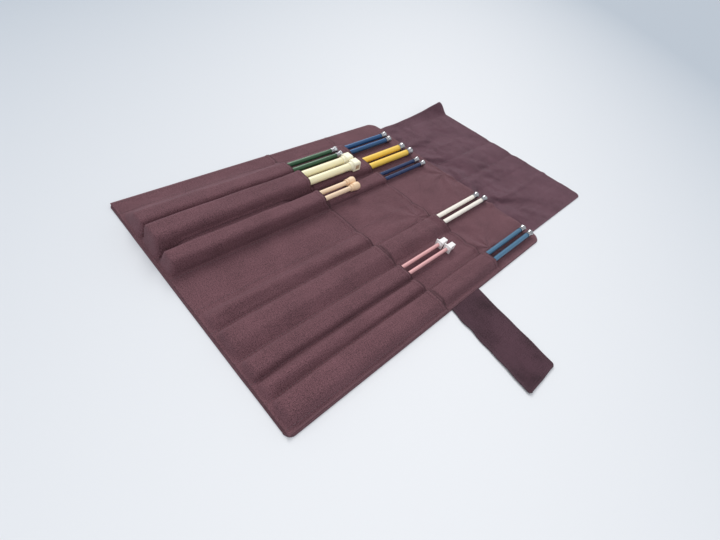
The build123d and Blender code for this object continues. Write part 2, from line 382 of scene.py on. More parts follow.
def plastic_material(name, colour, hollow_shade_colour=None, hollow_shade_at=(0, 0)):
    """Smooth moulded plastic, with brown shade painted into a square hollow on the side faces if
    asked.
    """
    s = Shader(name)
    where = s.coordinates()
    cloud = s.noise(where, 120, 3)
    base = s.mix(cloud, rgba(colour, 0.94), rgba(colour, 1.05))
    if hollow_shade_colour:
        _, y, z = s.axes(where)
        along = (3.4 - (y - hollow_shade_at[0]).size() * 1000).limited()
        up = (3.4 - (z - hollow_shade_at[1]).size() * 1000).limited()
        # painted shade: a soft brown square where the head's hollow lies in shadow
        hollow_shade = along * up * (cloud * 0.9 + 0.3)
        base = s.mix(hollow_shade.limited(), base, rgba(hollow_shade_colour))
    s.set(Base_Color=base)
    s.set(Roughness=cloud * 0.12 + 0.26, Coat_Weight=0.2, Coat_Roughness=0.2)
    s.bump(cloud, 0.00003)
    return s.material


def floor_material(name, colour, far_shade_colour):
    """A pale floor, with painted shade darkening it outside an oval round the case."""
    s = Shader(name)
    x, y, _ = s.axes(s.coordinates())
    across, along = x * 0.81 + y * 0.59, y * 0.81 - x * 0.59
    away = ((across * across + along * along * 0.12 + 0.01) ** 0.5 - 0.1) * 1.3
    # painted shade: away from the case the floor fades to its far colour, as the light falls off
    s.set(Base_Color=s.mix(away.limited(), rgba(colour), rgba(far_shade_colour)))
    s.set(Roughness=0.85, Specular_IOR_Level=0.2)
    return s.material


# --- cloth


def convex(points):
    """Convex hull of (x, z) points, counterclockwise from the leftmost."""
    points = sorted(set(points))

    def chain(run):
        kept = []
        for p in run:
            while len(kept) > 1:
                (ax, az), (bx, bz) = kept[-2], kept[-1]
                if (bx - ax) * (p[1] - az) - (bz - az) * (p[0] - ax) > 0:
                    break
                kept.pop()
            kept.append(p)
        return kept[:-1]

    return chain(points) + chain(points[::-1])


def taut(discs, a, b, base, step=1.25):
    """Cloth pulled over discs (x, z, radius) from (a, base) to (b, base), evenly sampled."""
    points = [(a, base), (b, base)]
    for x, z, r in discs:
        for k in range(DISC_POINTS):
            angle = 2 * math.pi * k / DISC_POINTS
            p = (x + r * math.cos(angle), z + r * math.sin(angle))
            if p[1] > base:
                points.append(p)
    hull = convex(points)
    start = hull.index((b, base))
    path = np.array((hull[start:] + hull[:start])[::-1])
    run = np.concatenate([[0], np.cumsum(np.hypot(*np.diff(path, axis=0).T))])
    count = max(9, int(run[-1] / step))
    at = np.linspace(0, run[-1], count)
    out = np.stack([np.interp(at, run, path[:, 0]), np.interp(at, run, path[:, 1])], 1)
    for _ in range(2):
        out[1:-1] = (out[:-2] + 2 * out[1:-1] + out[2:]) / 4
    return out


def panel_columns(front):
    """Cross-section of a pocket layer: flat and raised (x, z) of each column, and slack."""
    base = FRONT_MID if front else REAR_MID
    flat, raised, slack = [], [], []

    def add(shape, loose):
        count = len(shape)
        flat.extend((x, base) for x in np.linspace(shape[0][0], shape[-1][0], count))
        raised.extend(tuple(point) for point in shape)
        slack.extend(loose * math.sin(math.pi * k / max(count - 1, 1)) for k in range(count))

    def level(x0, x1):
        count = max(2, int(abs(x1 - x0) / 1.5) + 1)
        return [(x, base) for x in np.linspace(x0, x1, count)]

    at = 2
    inset = 1.1 if front else 2.7
    for seam0, seam1, rear, front_pair, loose in CHANNELS:
        a, b = seam0 + inset, seam1 - inset
        add(level(at, a)[:-1], 0)
        discs = []
        if rear:
            xs, z, r = PAIRS[rear]
            easy = 0.35 if rear == "navy" else 0
            discs += [(x, z, r + (1.6 if front else 0.7) + easy) for x in xs]
        if front and front_pair:
            xs, z, r = PAIRS[front_pair]
            discs += [(x, z, r + 0.7) for x in xs]
        if discs:
            add(taut(discs, a, b, base), 0)
        else:
            t = np.linspace(0, 1, 2 * int((b - a) / 3.2) + 3)
            rise = (loose if front else 0) * np.sin(math.pi * t)
            shape = np.stack([a + (b - a) * t, base + rise], 1)
            add(shape, 1 if (loose > 1 or not front) else 0.15)
        at = b
        for row in (flat, raised, slack):
            row.pop()
    add(level(at, BODY_W - 2), 0)
    return np.array(flat), np.array(raised), np.array(slack)


def grid_normals(mid):
    """Directions square to the cloth at every grid point."""
    along_x = np.gradient(mid, axis=1)
    along_y = np.gradient(mid, axis=0)
    normal = np.cross(along_x, along_y)
    return normal / np.linalg.norm(normal, axis=2, keepdims=True)


def arclength(mid):
    """Distance along the middle row, for a weave that follows the cloth."""
    row = mid[mid.shape[0] // 2]
    return np.concatenate([[0], np.cumsum(np.linalg.norm(np.diff(row, axis=0), axis=1))])


def rim_loop(rows, cols):
    """The grid's border places (row, column), once round."""
    loop = [(0, j) for j in range(cols)] + [(i, cols - 1) for i in range(1, rows)]
    loop += [(rows - 1, j) for j in range(cols - 2, -1, -1)]
    return loop + [(i, 0) for i in range(rows - 2, 0, -1)]


def rim_away(mid, loop, square):
    """Directions out of the cloth along its border, without those across the square sides."""
    rows, cols, _ = mid.shape
    away = []
    free = {j for side, j in (("left", 0), ("right", cols - 1)) if side not in square}
    for i, j in loop:
        step = np.zeros(3)
        if i in (0, rows - 1):
            along = unit(mid[min(i + 1, rows - 1), j] - mid[max(i - 1, 0), j])
            step += along if i else -along
        if j in free:
            along = unit(mid[i, min(j + 1, cols - 1)] - mid[i, max(j - 1, 0)])
            step += along if j else -along
        away.append(unit(step))
    return np.array(away)


def shell(name, mid, thick, wear_and_shade, u, plain=(), mitre=(), normal=None):
    """A closed cloth shell round a grid of middle points, with soft rims.

    plain and mitre name the sides ("left", "right") that abut another piece."""
    rows, cols, _ = mid.shape
    size, square = rows * cols, plain + mitre
    normal = grid_normals(mid) if normal is None else normal
    half = (np.zeros((rows, cols, 1)) + thick) / 2
    outer, inner, centre = mid + normal * half, mid - normal * half, mid.copy()
    for side, j, sign in (("left", 0, 1), ("right", cols - 1, -1)):
        if side in mitre:
            outer[:, j, 0] = mid[:, j, 0] + sign * (2 * half[:, j, 0] + MITRE_GAP)
            inner[:, j, 0] = mid[:, j, 0] + sign * MITRE_GAP
            centre[:, j, 0] += sign * (half[:, j, 0] + MITRE_GAP)
    loop = rim_loop(rows, cols)
    rim = [i * cols + j for i, j in loop]
    reach = rim_away(mid, loop, square) * half.reshape(-1, 1)[rim] * RIM_ROUND
    ring = centre.reshape(-1, 3)[rim] + reach
    first = np.arange(size).reshape(rows, cols)[:-1, :-1].reshape(-1, 1)
    quads = first + [0, 1, cols + 1, cols]
    faces = np.hstack([quads, size + quads[:, ::-1]]).reshape(-1, 4).tolist()
    for k, p in enumerate(rim):
        after = (k + 1) % len(rim)
        q, rp, rq = rim[after], 2 * size + k, 2 * size + after
        faces += [(p, rp, rq, q), (rp, size + p, size + q, rq)]
    points = np.vstack([outer.reshape(-1, 3), inner.reshape(-1, 3), ring])
    mesh = bpy.data.meshes.new(name)
    mesh.from_pydata(place(points).tolist(), [], faces)
    steps = np.linalg.norm(np.diff(mid, axis=0), axis=2)
    below = np.vstack([np.cumsum(steps[::-1], axis=0)[::-1], np.zeros((1, cols))])
    v = mid[-1:, :, 1] - below
    flat_uv = np.stack([u + 0 * v, v], 2).reshape(-1, 2) / 1000
    all_uv = np.vstack([flat_uv, flat_uv, flat_uv[rim]])
    corner = np.zeros(len(mesh.loops), int)
    mesh.loops.foreach_get("vertex_index", corner)
    mesh.uv_layers.new(name="Weave").data.foreach_set("uv", all_uv[corner].ravel())
    wear_and_shade = wear_and_shade.reshape(-1)
    wear = mesh.attributes.new("wear_and_shade", "FLOAT", "POINT")
    wear.data.foreach_set("value", np.concatenate([wear_and_shade, wear_and_shade, wear_and_shade[rim]]))
    mesh.polygons.foreach_set("use_smooth", [True] * len(mesh.polygons))
    edges = [j for side, j in (("left", 0), ("right", cols - 1)) if side in square]
    border = {cloth + i * cols + j for cloth in (0, size) for i in range(rows) for j in edges}
    if border:
        sharp = mesh.attributes.new("sharp_edge", "BOOLEAN", "EDGE")
        flags = [border.issuperset(edge.vertices) for edge in mesh.edges]
        sharp.data.foreach_set("value", flags)
    mesh.validate()
    return add_object(name, mesh)


def dress(made, material):
    """Gives a piece its material."""
    dye(made, material)


def spots(start, end, step, extra, more=1):
    """Sorted grid positions: even ones about a step apart, and extra ones."""
    even = np.linspace(start, end, int((end - start) / step) + more)
    return np.array(sorted(set(np.round([*even, *extra], 4))))


def span_rows(y0, y1, step, extra):
    """Row positions, closer together at both ends."""
    ends = (y0 + 0.6, y0 + 1.5, y1 - 0.6, y1 - 1.5, y1 - 3)
    return spots(y0, y1, step, (*ends, *extra))


def rim_wear(mid, reach, sides=("left", "right", "low", "high")):
    """1 on the cloth's outer edges, fading inwards over reach mm."""
    x, y = mid[:, :, 0], mid[:, :, 1]
    edges = {"left": x[:, :1], "right": x[:, -1:], "low": y[:1], "high": y[-1:]}
    gaps = [np.abs((x if side in ("left", "right") else y) - edges[side]) for side in sides]
    return np.clip(1 - np.minimum.reduce(gaps) / reach, 0, 1)


def crease_gap(x):
    """Distance in X to the nearer crease of the spine."""
    return np.minimum(np.abs(x - CREASE_L), np.abs(x - CREASE_R))


def seam_gap(x):
    """Distance in X to the nearest stitched seam."""
    return np.minimum.reduce([np.abs(x - seam) for seam in SEAMS])


def bend(made, hinge):
    """Finds where a hinge's bend starts and ends, leaves that unused, and bakes the piece's
    placement into its mesh.
    """
    body_a, body_b, spot, axis, reach = HINGES[hinge]
    start, end = place(np.array(spot) + np.outer(reach, np.eye(3)[axis]))
    tuple(start)
    tuple(end)
    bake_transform(made)


def halves(name, mid, thick, wear_and_shade, material):
    """Cuts a full-width layer at the middle of the spine and makes both halves."""
    normals, u = grid_normals(mid), arclength(mid)
    thick = np.zeros(mid.shape[:2] + (1,)) + thick
    cut = int(np.argmin(np.abs(mid[mid.shape[0] // 2, :, 0] - MID_SPINE)))
    for half, side, part in (
        ("left", "right", slice(0, cut + 1)), ("right", "left", slice(cut, None)),
    ):
        piece = shell(
            f"{name}_{half}_cloth", mid[:, part], thick[:, part], wear_and_shade[:, part], u[part],
            plain=(side,), normal=normals[:, part],
        )
        dress(piece, material)
        wanted = [f"{name}_{half}"] + ([f"{name}_spine"] if half == "left" else [])
        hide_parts(*wanted)
        bend(piece, half)


def body_grid(mid_z, inset):
    """The rounded outline of the open case as a grid, fine at the corners and sides."""
    low = [CORNER_LOW - CORNER_LOW * math.cos(a) for a in np.linspace(0, math.pi / 2, 7)]
    top = BODY_H - CORNER_HIGH
    high = [top + CORNER_HIGH * math.sin(a) for a in np.linspace(0, math.pi / 2, 9)]
    ys = np.array(low + list(np.linspace(CORNER_LOW, top, 90)[1:-1]) + high)
    edge = [0, 0.8, 1.8, 2.8, 3.6, 4.4, 5.4, 7, 9, 12, 16]
    left = np.concatenate([edge, np.linspace(20, MID_SPINE, 60)])
    xs = np.concatenate([left, BODY_W - left[::-1][1:]])
    pull = corner_pull(CORNER_LOW - ys, CORNER_LOW) + corner_pull(ys - top, CORNER_HIGH)
    fade_l, fade_r = np.clip(1 - xs / 60, 0, 1), np.clip(1 - (BODY_W - xs) / 60, 0, 1)
    grid = np.zeros((len(ys), len(xs), 3))
    grid[:, :, 0] = xs + pull[:, None] * fade_l - pull[:, None] * fade_r
    grid[:, :, 1], grid[:, :, 2] = ys[:, None], mid_z
    centre = np.array([BODY_W / 2, BODY_H / 2])
    grid[:, :, :2] = centre + (grid[:, :, :2] - centre) * (1 - inset / centre)
    return grid


def make_body_cloth(colours):
    """The outer cover, and the lining with its stitched-in hem."""
    cover = body_grid(COVER_MID, COVER_INSET)
    plum = cloth_material("plum_cover_weave", colours.cover, 0.62)
    halves("cover", cover, COVER_T, rim_wear(cover, 2.5), plum)
    lining = body_grid(LINING_MID, LINING_INSET)
    x, y = lining[:, :, 0], lining[:, :, 1]
    away = np.minimum.reduce([x, BODY_W - x, y, BODY_H - y])
    groove = 0.26 * np.exp(-((away - LINING_HEM) ** 2))
    wavy = Ripple(5, 34, 60)(x, y) * 0.5 + 0.6
    brim = smooth((y - 362) / 12)
    brim = brim * smooth((x - 14) / 12) * smooth((BODY_W - 14 - x) / 12)
    calm = smooth(crease_gap(x) / 7)
    puff = 0.25 * smooth((6.5 - away) / 2)
    rise = lane_room(x) * (2.3 * brim * wavy * calm + puff)
    lining[:, :, 2] += 0.05 * Ripple(3, 70, 90)(x, y) - groove * 0.6 + rise
    inner = cloth_material(LINING_CLOTH, colours.cloth, 0.6, LINING_FOLDS)
    halves("lining", lining, LINING_T, rim_wear(lining, 3), inner)


def valley_fill(section, reach=7):
    """How far the cloth spans the dips between its humps, kept off the two creases."""
    across = np.arange(0, BODY_W, 0.5)
    bell = np.exp(-((np.arange(-3 * reach, 3 * reach, 0.5) / reach) ** 2) / 2)
    height = np.interp(across, section[:, 0], section[:, 1])
    spanned = np.convolve(height, bell / bell.sum(), mode="same")
    fill = np.interp(section[:, 0], across, np.maximum(spanned - height, 0))
    x = section[:, 0]
    left, right = smooth((CREASE_L - 8 - x) / 12), smooth((x - CREASE_R - 8) / 12)
    clear = np.maximum(left, 0.35 * right)
    return fill * clear * smooth((x - 8) / 12) * smooth((BODY_W - 6 - x) / 10)


def pocket_grid(front):
    """Middle points of a pocket layer, raised over its needles and rippled, and its rows."""
    flat, raised, slack = panel_columns(front)
    mouth, base = (FRONT_MOUTH, FRONT_MID) if front else (REAR_MOUTH, REAR_MID)
    near = (mouth - 6, mouth - 5.2, mouth - 4.8, mouth - 4.3, mouth - 3.9, mouth - 2.2)
    ys = span_rows(2, mouth, 2.6, (3, 4.2, 5.5, 7, 8.5, 10) + near)
    rise = smooth((ys - 3) / 7)[:, None, None]
    section = flat[None] * (1 - rise) + raised[None] * rise
    x, y = section[:, :, 0], ys[:, None]
    recess = smooth((raised[:, 1] - flat[:, 1]) / 12) * (7 if front else 4.5)
    recess = np.convolve(recess, np.hanning(9) / np.hanning(9).sum(), mode="same")
    across = flat[:, 0]
    notch = 1.2 * np.exp(-((seam_gap(across) / 2.6) ** 2))
    wander = 0.55 * Ripple(71 if front else 72, 30, 30)(across, 0) - notch
    recess = recess + 0.6 - wander
    grid = np.zeros(x.shape + (3,))
    grid[:, :, 0], grid[:, :, 2] = x, section[:, :, 1]
    grid[:, :, 1] = y - recess[None] * smooth((y - mouth + 60) / 60)
    normal, run = grid_normals(grid), arclength(grid)[None, :]
    hump = smooth((raised[:, 1][None] - base) / 6)
    seed = 21 if front else 11
    soft = Ripple(seed, 26, 75)(run, y) * 0.5 + 0.5
    fine = Ripple(seed + 1, 11, 34)(run, y) * 0.5 + 0.5
    drag = Ripple(seed + 2, 17, 120)(run + 0.35 * y, y) * 0.5 + 0.5
    swell = np.clip(0.75 * soft + 0.35 * drag, 0, 1.3) + 0.22 * np.clip(fine, 0, 1)
    open_area = np.ones_like(y) if front else smooth((y - FRONT_MOUTH - 4) / 10)
    shut = smooth((y - 4) / 22)
    lift = 0.75 * hump * swell * shut * open_area
    if front:
        along = smooth((y - 9) / 26) * (1 - smooth((y - 138) / 34))
        grid[:, :, 2] += 0.9 * valley_fill(raised) * along
        gape = 1 + 0.3 * smooth((y - 100) / 45) - 0.75 * smooth((y - 158) / 30)
        folds = np.clip(Ripple(31, 13, 240)(run, y) * 0.5 + 0.55, 0, 1.2)
        lift = lift + slack[None] * shut * (1.9 * folds * gape - 0.35)
    else:
        folds = np.clip(Ripple(41, 17, 150)(run, y) * 0.5 + 0.5, 0, 1.2)
        share = np.ones_like(x)
        share[(x > 226) & (x < 254)] = 0.06
        share[(x > 124) & (x < 171)] = 0.3
        lift = lift + slack[None] * shut * open_area * 2.2 * folds * share
        # lies calm where the front needles' heads rest on it
        resting = smooth((y - 226) / 12) * smooth((272 - y) / 8)
        lift = lift * (1 - resting * smooth((128 - x) / 6))
    lip = smooth((y - mouth + 9) / 8) * (1 - hump)
    lip = lip * smooth((run - 6) / 8) * smooth((run[0, -1] - run - 6) / 8)
    lift = lift + 0.75 * lip * smooth(seam_gap(x) / 5)
    grid += normal * lift[:, :, None]
    return grid, ys


def mouth_wear_and_shade(grid, ys, mouth):
    """Paler worn side edges, and painted shade along the mouth (below zero)."""
    wear_and_shade = rim_wear(grid, 2.2, ("left", "right"))
    # painted shade along the mouth: the last mm or so before it is set below zero, which darkens
    # the cloth
    dark = smooth((ys - (mouth - 1.3)) / 0.9)[:, None]
    return wear_and_shade * (1 - dark) - dark


def hemmed(grid, ys, mouth):
    """Thickens a panel's mouth where the cloth is turned under; returns the thickness."""
    turned = smooth((ys - (mouth - 4.8)) / 0.8)
    thick = PANEL_T + 0.45 * turned
    grid += grid_normals(grid) * ((thick - PANEL_T) / 2)[:, None, None]
    return np.repeat(thick[:, None, None], grid.shape[1], axis=1)


def make_pockets(front):
    """One pocket panel of the lining's cloth, the rear one with a painted shadow in a strip at the
    front mouth.
    """
    mouth = FRONT_MOUTH if front else REAR_MOUTH
    grid, ys = pocket_grid(front)
    thick = hemmed(grid, ys, mouth)
    wear_and_shade = mouth_wear_and_shade(grid, ys, mouth)
    if not front:
        # painted shadow: the front pocket's mouth edge darkens a thin strip of the rear panel here
        beyond = (ys - FRONT_MOUTH)[:, None] + 0 * wear_and_shade
        shaded = wear_and_shade - 0.8 * smooth((1.7 - beyond) / 1.4)
        wear_and_shade = np.where((beyond > -1.5) & (beyond < 1.7), shaded, wear_and_shade)
    name, below = ("front_pocket", "rear_pocket") if front else ("rear_pocket", "lining")
    halves(name, grid, thick, wear_and_shade, bpy.data.materials[LINING_CLOTH])
    return grid


def lane_room(x):
    """1 where no needle passes over the flap, 0 inside a needle's lane."""
    room = np.ones_like(x)
    for low, high in NEEDLE_LANES:
        inside = smooth((x - low + 5) / 5) * smooth((high + 5 - x) / 5)
        room = np.minimum(room, 1 - inside)
    return room


def flap_wrinkles(x, y):
    """Ridges that fan out from the needle heads, and a slack roll across the flap."""
    height = np.zeros_like(x)
    for cx, cy, angle, width, gain in FLAP_RIDGES:
        dx, dy = x - cx, y - cy
        along = dx * math.cos(angle) + dy * math.sin(angle)
        across = -dx * math.sin(angle) + dy * math.cos(angle)
        spread = width * (0.35 + along / 110)
        ridge = np.exp(-((across / np.maximum(spread, 1.5)) ** 2))
        height += gain * ridge * smooth(along / 14) * smooth((150 - along) / 90)
    rolls = Ripple(51, 60, 44)(x + 0.4 * y, y) * 0.5 + 0.5
    broad = Ripple(52, 120, 90)(x, y) * 0.5 + 0.5
    return height + 0.4 * rolls + 0.5 * broad


def flap_height(x, y):
    """Height of the flap's underside over the table, with its curled far left corner."""
    curl = 17.5 * np.clip((33.8 - x) / 16.8, 0, 1) ** 1.5
    curl = curl * np.clip((y - 402) / 120, 0, 1) ** 1.5
    free = 0.34 + 2.1 * lane_room(x)
    near_edge = smooth((y - 379) / 10)
    calm = smooth(crease_gap(x) / 11)
    return 0.01 + np.clip(flap_wrinkles(x, y), 0, 2.4) * free * near_edge * calm * 0.62 + curl


def make_flap(colours):
    """Three flap cloths that meet in thin pressed creases."""
    material = cloth_material("plum_flap_weave", colours.flap, 0.6, FLAP_FOLDS)
    turned = FLAP_Y1 - FLAP_CORNER * (1 - np.sin(np.linspace(0, 1.45, 6))) - FLAP_INSET
    ys = span_rows(BODY_H + 0.3, FLAP_Y1 - FLAP_INSET, 2.4, turned)
    pull = corner_pull(ys - (FLAP_Y1 - FLAP_CORNER - FLAP_INSET), FLAP_CORNER)[:, None]
    grids = {}
    for section, (x0, x1, sides, mitre) in FLAP_SECTIONS.items():
        x0 += FLAP_INSET if section == "left" else 0
        x1 -= FLAP_INSET if section == "right" else 0
        gaps = np.array([0.7, 1.6, 2.8, 4.2])
        xs = spots(x0, x1, 2.2, (*(x0 + gaps), *(x1 - gaps)), more=2)
        grid = np.zeros((len(ys), len(xs), 3))
        grid[:, :, 0], grid[:, :, 1] = xs, ys[:, None]
        if section == "left":
            grid[:, :, 0] += pull * np.clip(1 - (xs - x0) / 30, 0, 1)
        if section == "right":
            grid[:, :, 0] -= pull * np.clip(1 - (x1 - xs) / 30, 0, 1)
        x, y = grid[:, :, 0], grid[:, :, 1]
        away = np.minimum.reduce([x - FLAP_X0, FLAP_X1 - x, FLAP_Y1 - y])
        groove = 0.16 * np.exp(-((away - FLAP_SIDE_HEM) ** 2))
        pressed = smooth(crease_gap(x) / 9)
        thick = FLAP_T - FLAP_CREASE_THINNER * (1 - pressed)
        lift = flap_height(x, y) + 0.15 * pressed - groove
        grid[:, :, 2] = thick / 2 + np.maximum(lift, 0.008)
        wear_and_shade, u = rim_wear(grid, 2.4, sides), arclength(grid) + x0
        piece = shell(f"flap_{section}_cloth", grid, thick[:, :, None], wear_and_shade, u, mitre=mitre)
        dress(piece, material)
        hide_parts(f"flap_{section}")
        bend(piece, f"flap_{section}")
        grids[section] = grid
    return grids


def make_strap(colours):
    """The strap's two cloths, doubled over and edge-stitched."""
    material = cloth_material("plum_strap_weave", colours.strap, 0.6, (), 2.2)
    lengths = [
        ("root", STRAP_X0, STRAP_BREAK, ("strap_root", "strap_riser"), "right", ("low", "high")),
        ("tip", STRAP_BREAK, STRAP_X1, ("strap_tip",), "left", ("low", "high", "right")),
    ]
    edge = [-STRAP_HALF, -21.9, -21, -20, -19, -18, -16.5]
    inside = list(np.linspace(-14, 14, 15))
    across = np.array(edge + inside + [-v for v in edge[::-1]])
    grids = {}
    for name, x0, x1, nodes, joined, wear_sides in lengths:
        xs = spots(x0, x1, 1.6, (x1 - 0.5, x1 - 1.1, x1 - 2.2) if name == "tip" else ())
        x = np.zeros((len(across), 1)) + xs[None]
        v = across[:, None] + 0 * x
        squeeze = corner_pull(x - (STRAP_X1 - STRAP_CORNER), STRAP_CORNER)
        low_sway = Ripple(63, 26, 90)(x, -20 + 0 * v)
        sway = np.where(v < 0, low_sway, 0.6 * Ripple(64, 30, 90)(x, 20 + 0 * v))
        sway = 1.1 * sway * smooth((x - 304) / 14) * (np.abs(v) / STRAP_HALF) ** 1.5
        v = v * (1 - squeeze / STRAP_HALF) + sway
        away = np.minimum(STRAP_HALF - np.abs(v), STRAP_TIP - x)
        groove = 0.22 * np.exp(-(((away - STRAP_HEM) / 0.8) ** 2))
        wave = 0.4 * Ripple(61, 34, 40)(x, v) + 0.35
        wave = wave + 0.55 * smooth((x - 352) / 40) * (np.abs(v) / STRAP_HALF) ** 2
        centre = STRAP_Y - STRAP_SLOPE * (x - STRAP_X0)
        grid = np.stack([x, centre + v, 0.9 + np.clip(wave, 0, 0.9) - groove], 2)
        wear_and_shade, u = rim_wear(grid, 2, wear_sides), arclength(grid) + x0
        piece = shell(f"strap_{name}_cloth", grid, STRAP_T, wear_and_shade, u, plain=(joined,))
        dress(piece, material)
        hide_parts(*nodes)
        bend(piece, f"strap_{name}")
        grids[name] = grid
    return grids


# --- stitches


def stitch_tree(material):
    """Geometry nodes: one rounded stitch at each step along the seam lines."""
    tree = Tree(bpy.data.node_groups.new("running_stitch", "GeometryNodeTree"))
    add, node = tree.tree.nodes.new, tree.node

    def socket(name, in_out, kind):
        kind = f"NodeSocket{kind}"
        return tree.tree.interface.new_socket(name=name, in_out=in_out, socket_type=kind)

    socket("Geometry", "INPUT", "Geometry")
    sizes = ("Pitch", "Stitch Length", "Thread Radius")
    ids = {label: socket(label, "INPUT", "Float").identifier for label in sizes}
    socket("Geometry", "OUTPUT", "Geometry")
    source, sink = add("NodeGroupInput"), add("NodeGroupOutput")
    lines, pitch, length, radius = (Value(tree, socket) for socket in source.outputs[:4])
    curve = node("GeometryNodeMeshToCurve", {}, {"Mesh": lines})
    spaced = {"Curve": curve, "Length": pitch}
    points = node("GeometryNodeResampleCurve", {"mode": "LENGTH"}, spaced)
    bead = node("GeometryNodeMeshUVSphere", {}, {"Segments": 6, "Rings": 5, "Radius": 1.0})
    size = node("ShaderNodeCombineXYZ", {}, [length * 0.5, radius, radius])
    bead = node("GeometryNodeTransform", {}, {"Geometry": bead, "Scale": size})
    tangent = node("GeometryNodeInputTangent", {}, {})
    turn = node("FunctionNodeAlignRotationToVector", {"axis": "X"}, {"Vector": tangent})
    spread = {"Points": points, "Instance": bead, "Rotation": turn}
    stitches = node("GeometryNodeInstanceOnPoints", {}, spread)
    solid = node("GeometryNodeRealizeInstances", {}, {"Geometry": stitches})
    soft = node("GeometryNodeSetShadeSmooth", {}, {"Geometry": solid})
    dyed = node("GeometryNodeSetMaterial", {}, {"Geometry": soft, "Material": material})
    tree.feed(sink.inputs["Geometry"], dyed)
    return tree.tree, ids


def sew(name, paths, tree, ids, settings):
    """Stitches along paths of case-frame points, baked to one mesh."""
    points, edges = [], []
    for path in paths:
        first = len(points)
        points += place(path).tolist()
        edges += [(k, k + 1) for k in range(first, len(points) - 1)]
    mesh = bpy.data.meshes.new(name + "_lines")
    mesh.from_pydata(points, edges, [])
    lines = add_object(name + "_lines", mesh)
    modifier = lines.modifiers.new("Stitches", "NODES")
    modifier.node_group = tree
    modifier[ids["Pitch"]] = settings.pitch
    modifier[ids["Stitch Length"]] = settings.length
    modifier[ids["Thread Radius"]] = settings.thread
    graph = bpy.context.evaluated_depsgraph_get()
    baked = bpy.data.meshes.new_from_object(lines.evaluated_get(graph))
    lines.modifiers.clear()
    bpy.data.objects.remove(lines)
    return add_object(name, baked)


def row_path(grid, y, low, high):
    """Top-surface points along the cloth's row nearest to y, between two X values."""
    i = int(np.argmin(np.abs(grid[:, 0, 1] - y)))
    row = grid[i] + grid_normals(grid)[i] * (PANEL_T / 2 + SEWN)
    return row[(row[:, 0] >= low) & (row[:, 0] <= high)]


def column_path(grid, x, y0, y1, sewn=SEWN):
    """Top-surface points along the cloth's column nearest to x, between two Y values."""
    j = int(np.argmin(np.abs(grid[grid.shape[0] // 2, :, 0] - x)))
    column = grid[:, j] + grid_normals(grid)[:, j] * (PANEL_T / 2 + sewn)
    return column[(column[:, 1] >= y0) & (column[:, 1] <= y1)]


def seam_paths(rear, front, half):
    """One half's stitch rows: the mouths, the lining's hem, the sides and the channels."""
    low, high = (0, MID_SPINE) if half == "left" else (MID_SPINE, BODY_W)

    def inward(gap):
        return gap if half == "left" else BODY_W - gap

    paths = [row_path(rear, REAR_MOUTH - MOUTH_HEM, low, high)]
    paths.append(row_path(front, FRONT_MOUTH - MOUTH_HEM, low, high))
    top, end = LINING_MID + LINING_T / 2 - 0.08, BODY_H - CORNER_HIGH
    hem = np.linspace(*sorted((inward(CORNER_HIGH), MID_SPINE)), 60)
    paths.append(np.array([(x, BODY_H - LINING_HEM, top) for x in hem]))
    hem = np.linspace(REAR_MOUTH + 1.5, end, 30)
    paths.append(np.array([(inward(LINING_HEM), y, top) for y in hem]))
    columns = [(inward(SIDE_HEM), SEWN)]
    for seam in SEAMS:
        if low < seam < high:
            columns.append((seam, SEWN_LOW if seam == PINK_SEAM else SEWN))
    for x, sewn in columns:
        paths.append(column_path(rear, x, FRONT_MOUTH + 2, REAR_MOUTH - 1.5, sewn))
        paths.append(column_path(front, x, 3, FRONT_MOUTH - 1.5))
    return paths


def flap_paths(grid, section):
    """One flap section's stitch rows, along its hem and its free side."""
    low = FLAP_X0 + FLAP_HEM if section == "left" else grid[0, 0, 0] + 2
    high = FLAP_X1 - FLAP_HEM if section == "right" else grid[0, -1, 0] - 2
    hem = FLAP_Y1 - FLAP_HEM
    paths = [row_path(grid, hem, low, high)]
    side = {"left": FLAP_X0 + FLAP_SIDE_HEM, "right": FLAP_X1 - FLAP_SIDE_HEM}.get(section)
    if side:
        paths.append(column_path(grid, side, BODY_H + 3, hem))
    return paths


def strap_paths(grid, name):
    """The stitch rows along a strap cloth's edges, and across the tip's end."""
    surface = grid + grid_normals(grid) * 0.55
    paths = [surface[4], surface[-5]]
    if name == "tip":
        paths = [path[path[:, 0] < STRAP_TIP_SEAM] for path in paths]
        last = int(np.argmin(np.abs(grid[0, :, 0] - STRAP_TIP_SEAM)))
        paths.append(surface[4:-4, last])
    return paths


def make_stitches(grids, colours, settings):
    """Every seam and hem, one piece for each cloth's bodies."""
    tree, ids = stitch_tree(thread_material("plum_sewing_thread", colours.thread))
    dark_thread = thread_material("plum_strap_thread", colours.strap_thread)
    for half in ("left", "right"):
        paths = seam_paths(grids["rear"], grids["front"], half)
        made = sew(f"seam_stitches_{half}", paths, tree, ids, settings)
        bend(made, half)
    for section, grid in grids["flaps"].items():
        made = sew(f"flap_stitches_{section}", flap_paths(grid, section), tree, ids, settings)
        bend(made, f"flap_{section}")
    for name, grid in grids["straps"].items():
        made = sew(f"strap_stitches_{name}", strap_paths(grid, name), tree, ids, settings)
        dress(made, dark_thread)
        bend(made, f"strap_{name}")


# --- needles

# lacquered pairs: (colour, metallic, roughness)
LACQUERS = {
    "blue": ((0.02, 0.09, 0.23), 0.35, 0.35),
    "yellow": ((0.95, 0.62, 0.085), 0.1, 0.36),
    "navy": ((0.016, 0.04, 0.125), 0.3, 0.28),
    "cream": ((0.96, 0.9, 0.81), 0.05, 0.42),
    "teal": ((0.065, 0.18, 0.3), 0.35, 0.35),
    "green": ((0.036, 0.105, 0.05), 0.3, 0.36),
    "pink": ((0.76, 0.4, 0.4), 0.1, 0.4),
}


